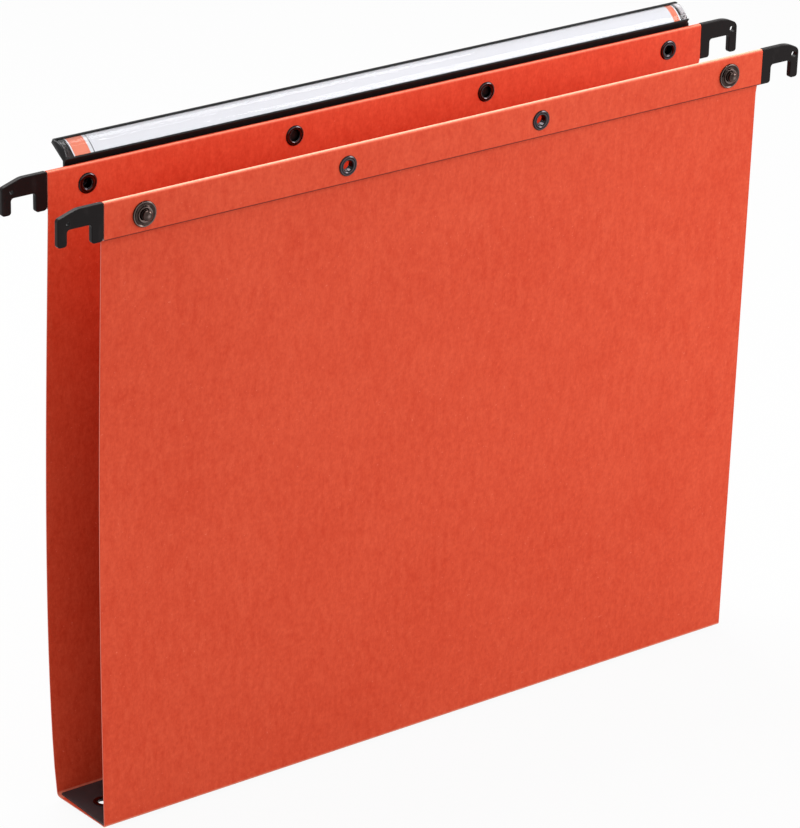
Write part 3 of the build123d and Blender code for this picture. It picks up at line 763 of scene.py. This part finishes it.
# crest colours painted paler as highlights, besides rubbing
EYELET_BLACK = blackened_finish(
    "eyelet_black",
    dark=shade(0.020, 0.017, 0.019),
    rubbed=shade(0.050, 0.042, 0.045),
    bare_and_highlight=shade(0.13, 0.105, 0.115),
)
STUD_BRONZE = blackened_finish(
    "stud_bronze",
    dark=shade(0.042, 0.028, 0.025),
    rubbed=shade(0.125, 0.085, 0.072),
    bare_and_highlight=shade(0.27, 0.205, 0.185),
)
ROLLED_STEEL = steel_finish("rolled_steel", (0.03, 1, 1))
SPRING_STEEL = steel_finish("spring_steel", (1, 1, 1))
COVER = cover_finish(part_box("label_window")[1].x)

for panel_end in ENDS:
    card_panel(panel_end)
    hem_fasteners(panel_end)
base_sheet()
base_eyelets()
softened("soft_holder", "label_holder", HOLDER_EDGE, HOLDER, "back")
cover_strip()
label_sheet()

SOLID_FINISHES = {
    "stiffener": BOARD,
    "hook": HOOK,
    "holder": HOLDER,
    "rail": ROLLED_STEEL,
    "spring": SPRING_STEEL,
}
for node, solid in frame["nodes"].items():
    solid_finish = next((SOLID_FINISHES[word] for word in SOLID_FINISHES if word in node), EYELET_BLACK)
    solid.data.materials.clear()
    solid.data.materials.append(solid_finish)


def studio():
    """Pale floor, three lamps, white surroundings and the photograph's camera."""
    shape = bmesh.new()
    bmesh.ops.create_grid(shape, x_segments=1, y_segments=1, size=FLOOR_HALF)
    bmesh.ops.translate(shape, vec=(0, 0, FLOOR_LEVEL), verts=shape.verts[:])
    floor_mesh = bpy.data.meshes.new("floor")
    shape.to_mesh(floor_mesh)
    shape.free()
    floor_mesh.materials.append(floor_finish())
    floor = bpy.data.objects.new("floor", floor_mesh)
    bpy.context.scene.collection.objects.link(floor)

    for name, spot, width, power in LAMPS:
        light = bpy.data.lights.new(name, "AREA")
        light.size = width
        light.energy = power
        lamp = bpy.data.objects.new(name, light)
        lamp.location = spot
        lamp.rotation_euler = (LAMP_AIM - Vector(spot)).to_track_quat("-Z", "Y").to_euler()
        lamp.visible_camera = False
        bpy.context.scene.collection.objects.link(lamp)

    world = bpy.data.worlds.new("white_room")
    bpy.context.scene.world = world
    world.use_nodes = True
    room = Nodes(world.node_tree)
    background = room.tree.nodes["Background"]
    background.inputs["Color"].default_value = shade(1, 1, 1)
    room.feed(background.inputs["Strength"], room.span(room.whiteness(), 0, 1, ROOM_LIGHT, 1.0))

    lens = bpy.data.cameras.new("camera")
    lens.sensor_width = SENSOR
    lens.lens = FOCAL_PIXELS / PHOTO_HEIGHT * SENSOR
    lens.clip_end = 20
    camera = bpy.data.objects.new("camera", lens)
    back = Vector((sin(AZIMUTH) * cos(ELEVATION), -cos(AZIMUTH) * cos(ELEVATION), sin(ELEVATION)))
    right = Vector((cos(AZIMUTH), sin(AZIMUTH), 0))
    up = back.cross(right)
    rolled_right = right * cos(ROLL) + up * sin(ROLL)
    rolled_up = up * cos(ROLL) - right * sin(ROLL)
    turn = Matrix((rolled_right, rolled_up, back)).transposed().to_4x4()
    camera.matrix_world = Matrix.Translation(AIM + back * DISTANCE) @ turn
    bpy.context.scene.collection.objects.link(camera)
    bpy.context.scene.camera = camera
    bpy.context.scene.view_settings.view_transform = "Standard"


studio()
